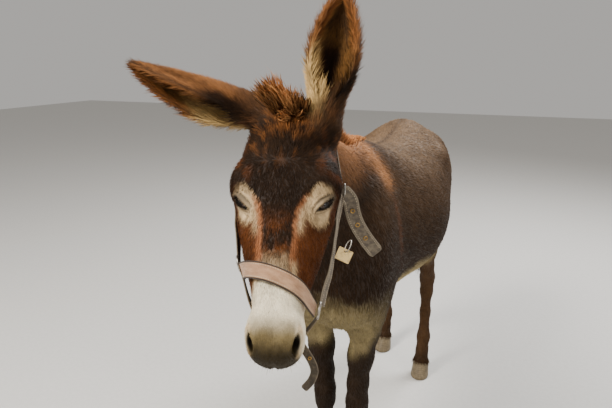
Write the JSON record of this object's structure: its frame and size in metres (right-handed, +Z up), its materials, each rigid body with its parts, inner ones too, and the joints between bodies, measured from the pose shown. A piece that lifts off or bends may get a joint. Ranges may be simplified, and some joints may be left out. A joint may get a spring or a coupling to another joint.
{
  "type": "donkey",
  "caption": "Life-size standing donkey, head lowered and turned, one ear up and one out to the side, wearing a webbing halter with a hanging strap end and a tag.",
  "frame": {"origin": "middle of the bounding box at the floor, between the hooves", "axes": "+Z up, the donkey faces -Y, +X is its left side; the soles stand on z = 0"},
  "size_m": [0.5414, 1.6896, 1.4474],
  "materials": {
    "coat": "dark brown short fur",
    "face_coat": "brown and cream short fur",
    "ear_coat": "brown ear fur",
    "mane_hair": "reddish brown upright hair",
    "tail_hair": "dark long hair",
    "eye": "wet dark",
    "hoof_horn": "worn grey horn",
    "beige_webbing": "faded woven webbing",
    "grey_leather": "worn grey leather",
    "dark_leather": "dark worn leather",
    "steel": "tarnished",
    "brass": "dull",
    "tag_plastic": "faded beige"
  },
  "bodies": {
    "root": {"head": "face_coat", "neck": "coat", "trunk": "coat", "ear_left": "ear_coat", "ear_right": "ear_coat", "forelock": "mane_hair", "mane": "mane_hair", "tail": "tail_hair", "eye_left": "eye", "eye_right": "eye", "leg_front_left": "coat", "hoof_front_left": "hoof_horn", "leg_hind_left": "coat", "hoof_hind_left": "hoof_horn", "leg_front_right": "coat", "hoof_front_right": "hoof_horn", "leg_hind_right": "coat", "hoof_hind_right": "hoof_horn", "halter_noseband": "beige_webbing", "halter_cheek_left": "grey_leather", "halter_cheek_right": "dark_leather", "halter_crown": "dark_leather", "halter_jaw_strap": "dark_leather", "halter_chin_strap": "dark_leather", "halter_ring_left": "steel", "halter_ring_right": "steel", "halter_buckle_left": "steel", "halter_buckle_right": "steel", "halter_eyelet_1": "brass", "halter_eyelet_2": "brass", "halter_eyelet_3": "brass", "halter_loose_end": "grey_leather", "halter_chin_end": "grey_leather", "tag": "tag_plastic", "tag_hook": "steel"}
  },
  "joints": []
}
